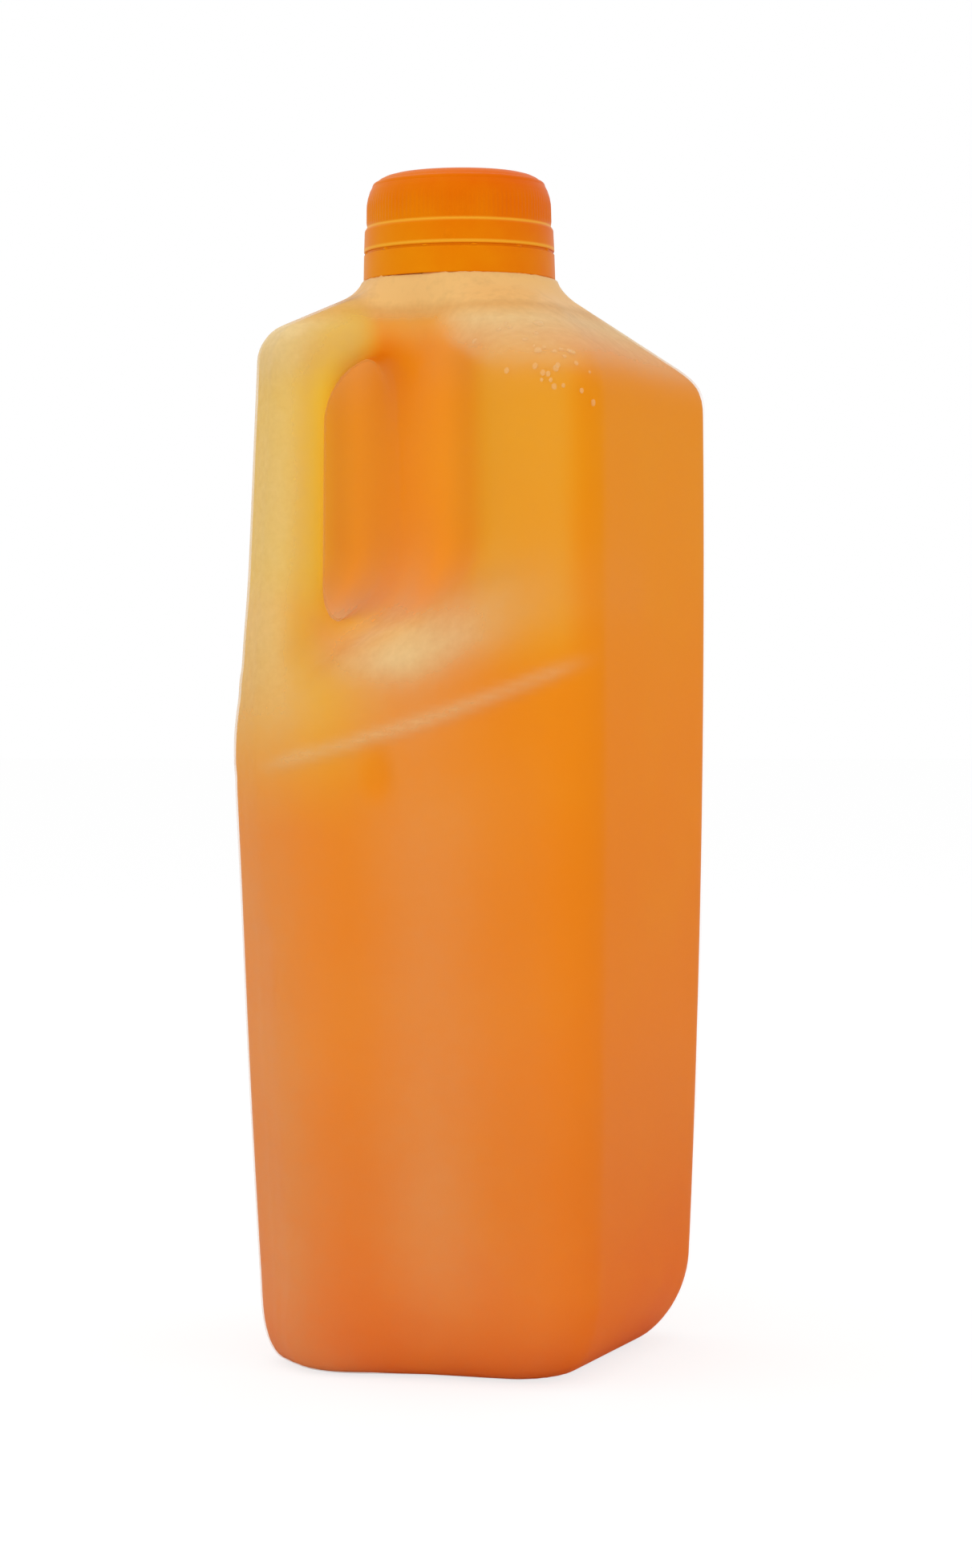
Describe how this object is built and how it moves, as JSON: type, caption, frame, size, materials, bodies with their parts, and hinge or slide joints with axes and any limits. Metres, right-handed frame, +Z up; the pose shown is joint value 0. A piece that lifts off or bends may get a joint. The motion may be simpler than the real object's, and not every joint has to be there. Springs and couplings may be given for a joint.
{
  "type": "orangeade jug",
  "caption": "Blow-moulded translucent juice jug with a hollow corner handle, filled with orange drink, under a knurled orange screw cap.",
  "frame": {"origin": "middle of the base on the neck's axis, at the height of the floor it stands on", "axes": "+Z up along the neck; -Y is the front face with the dimple; the handle stands at the corner between -X and -Y"},
  "size_m": [0.0912, 0.0912, 0.26],
  "materials": {
    "clear_body": "satin",
    "drink": "gloss",
    "cap_plastic": "satin"
  },
  "bodies": {
    "root": {"jug": "clear_body", "orangeade": "drink", "cap": "cap_plastic"}
  },
  "joints": []
}
